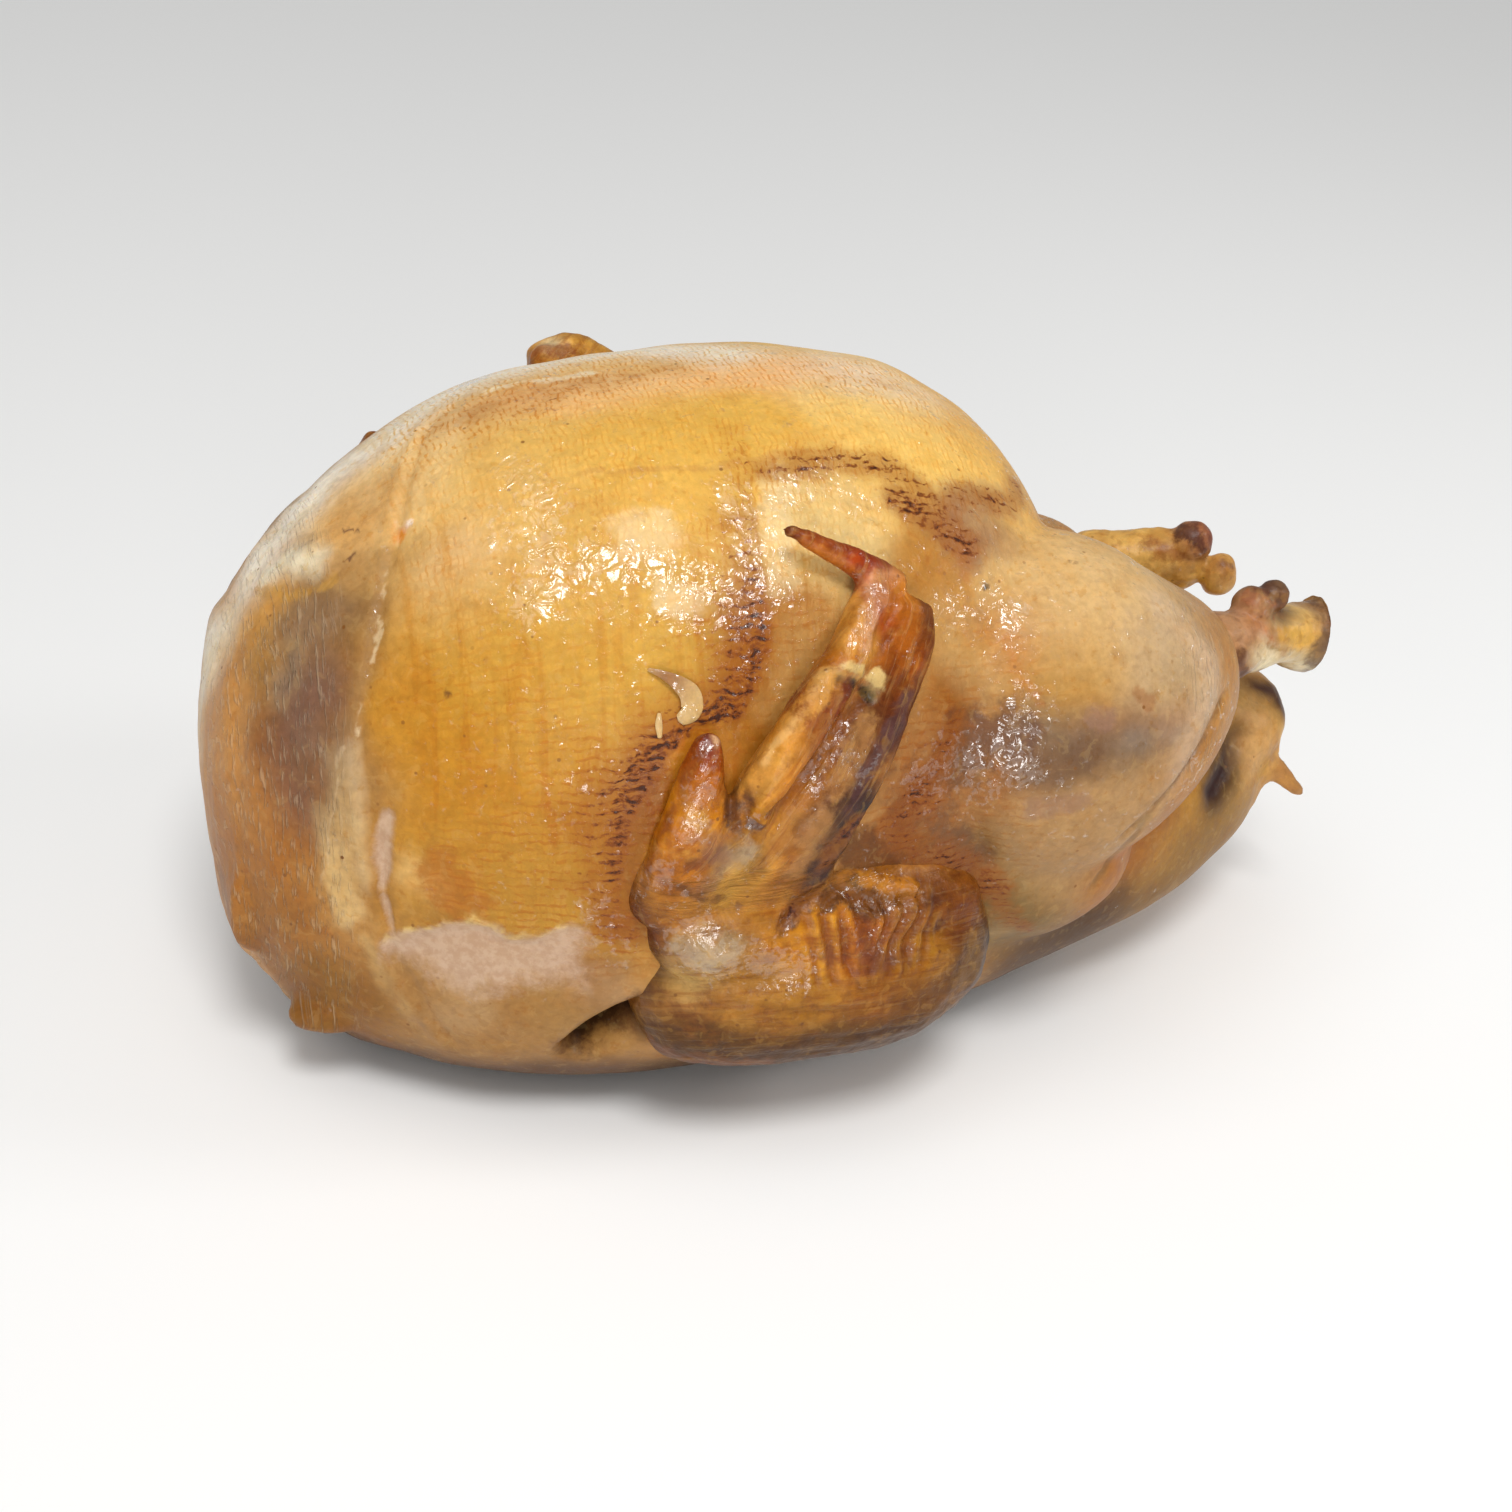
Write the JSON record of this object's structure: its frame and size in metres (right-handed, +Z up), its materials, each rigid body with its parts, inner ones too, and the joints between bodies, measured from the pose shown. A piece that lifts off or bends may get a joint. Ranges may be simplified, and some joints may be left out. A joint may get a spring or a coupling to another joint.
{
  "type": "roast turkey",
  "caption": "Whole roast turkey lying breast up, with tucked legs, folded wings and a pulled-over neck flap, browned and glossy.",
  "frame": {"origin": "middle of the bird's box, on the plane that it rests on", "axes": "+X from the neck end to the tail, +Z up through the breast, -Y out of the bird's right side"},
  "size_m": [0.3827, 0.2296, 0.2131],
  "materials": {
    "roast_skin": "glossy golden roast skin, browned on the wings, legs and breast edges"
  },
  "bodies": {
    "root": {"turkey": "roast_skin"}
  },
  "joints": []
}
